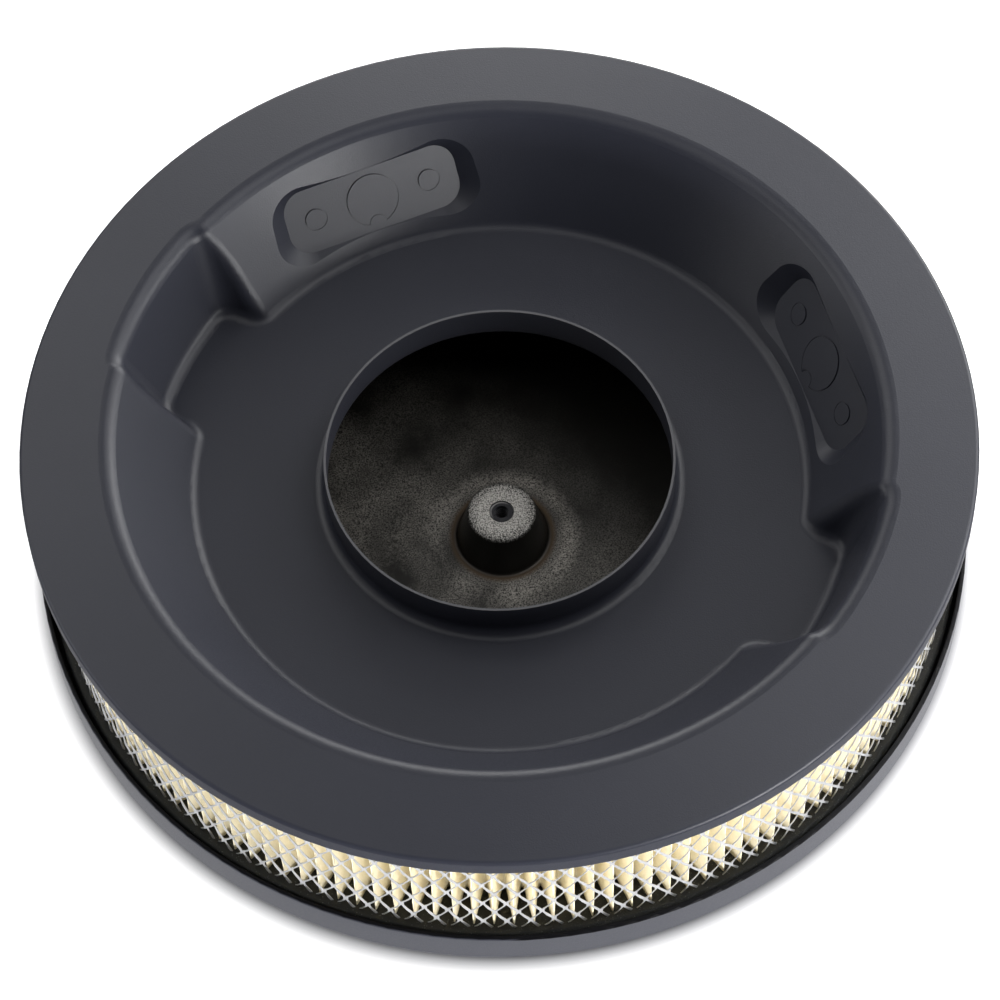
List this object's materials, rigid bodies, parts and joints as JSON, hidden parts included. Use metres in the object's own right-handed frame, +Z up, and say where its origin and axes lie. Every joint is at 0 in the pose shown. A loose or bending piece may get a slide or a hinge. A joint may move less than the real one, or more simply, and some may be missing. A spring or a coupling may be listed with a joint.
{
  "type": "carburetor air cleaner",
  "caption": "Round air cleaner for a carburetor: a stamped drop base with a clamping neck, a stamped lid and a pleated paper element behind expanded metal, standing on its lid.",
  "frame": {"origin": "centre of the face that the lid stands on, on the axis of the cleaner", "axes": "+Z up along the axis, from the lid to the open neck of the base; +X to the right and +Y away in the pictured view"},
  "size_m": [0.3556, 0.3556, 0.086],
  "materials": {
    "base_paint": "satin charcoal powder coat with a fine texture",
    "lid_paint": "satin charcoal powder coat outside, thin dusty paint inside",
    "seal_rubber": "matt moulded seal, lightly speckled",
    "filter_paper": "cream pleated filter paper",
    "screen_metal": "bright expanded sheet",
    "nut_zinc": "zinc plated, dull"
  },
  "bodies": {
    "root": {"base_pan": "base_paint", "lid": "lid_paint", "lid_seal": "seal_rubber", "base_seal": "seal_rubber", "filter_paper": "filter_paper", "outer_screen": "screen_metal", "inner_screen": "screen_metal"},
    "nut": {"hold_down_nut": "nut_zinc"}
  },
  "joints": [
    {"name": "nut_turn", "type": "hinge", "parent": "root", "child": "nut", "pos_m": [0, 0, 0.0211], "axis": [0, 0, 1], "continuous": true}
  ]
}
